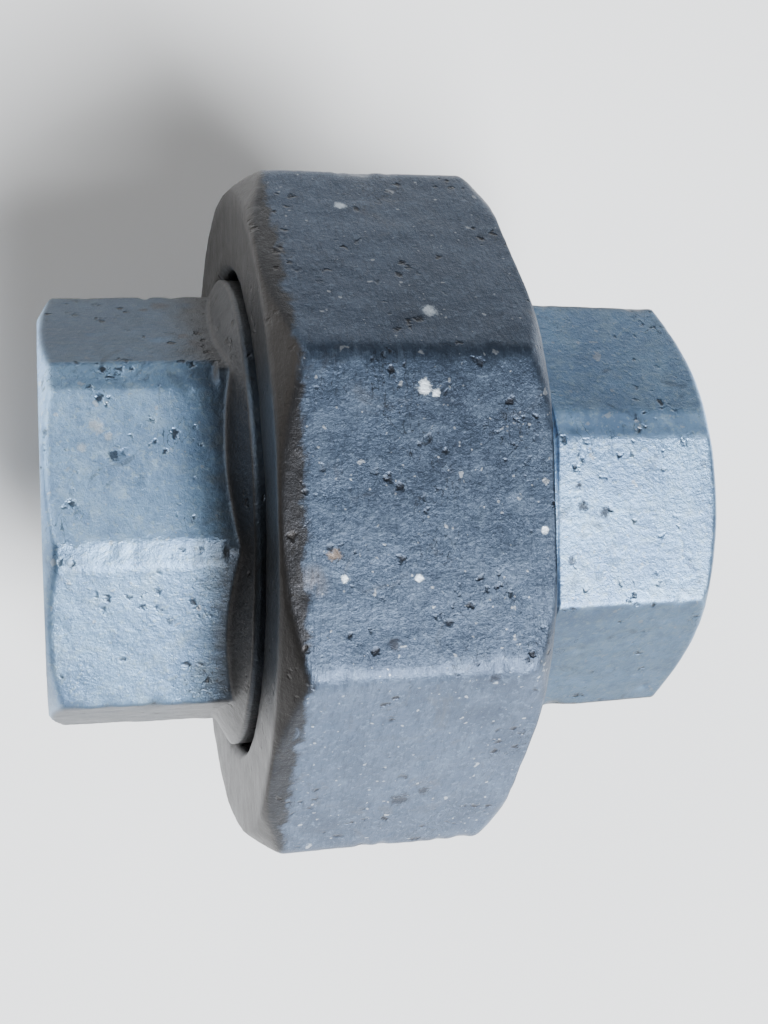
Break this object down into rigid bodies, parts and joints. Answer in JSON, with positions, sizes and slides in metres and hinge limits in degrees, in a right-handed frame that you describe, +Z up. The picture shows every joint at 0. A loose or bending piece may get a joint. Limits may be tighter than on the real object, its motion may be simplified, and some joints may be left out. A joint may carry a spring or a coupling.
{
  "type": "pipe union",
  "caption": "Forged steel pipe union with octagonal female threaded ends, joined by an octagonal union nut over a ball and cone metal seat.",
  "frame": {"origin": "on the pipe axis at mid length, the centre of the bounding box", "axes": "X along the pipe axis, tail piece at -X and threaded body at +X; Z up, square to the nut flat opposite the one it lies on"},
  "size_m": [0.0458, 0.0468, 0.0468],
  "materials": {
    "galvanised_nut": "zinc plated forging, matt",
    "galvanised_ends": "zinc plated forging, matt"
  },
  "bodies": {
    "threaded_body": {"threaded_body": "galvanised_ends"},
    "tail": {"tail_piece": "galvanised_ends"},
    "nut": {"union_nut": "galvanised_nut"}
  },
  "joints": [
    {"name": "tail_draw", "type": "slide", "parent": "threaded_body", "child": "tail", "axis": [-1, 0, 0], "range_m": [0, 0.0098]},
    {"name": "nut_turn", "type": "hinge", "parent": "tail", "child": "nut", "pos_m": [0, 0, 0], "axis": [-1, 0, 0], "range_deg": [0, 1620]}
  ],
  "couplings": [
    {"joint": "nut_turn", "follows": "tail_draw", "rad_per_m": 2856}
  ]
}
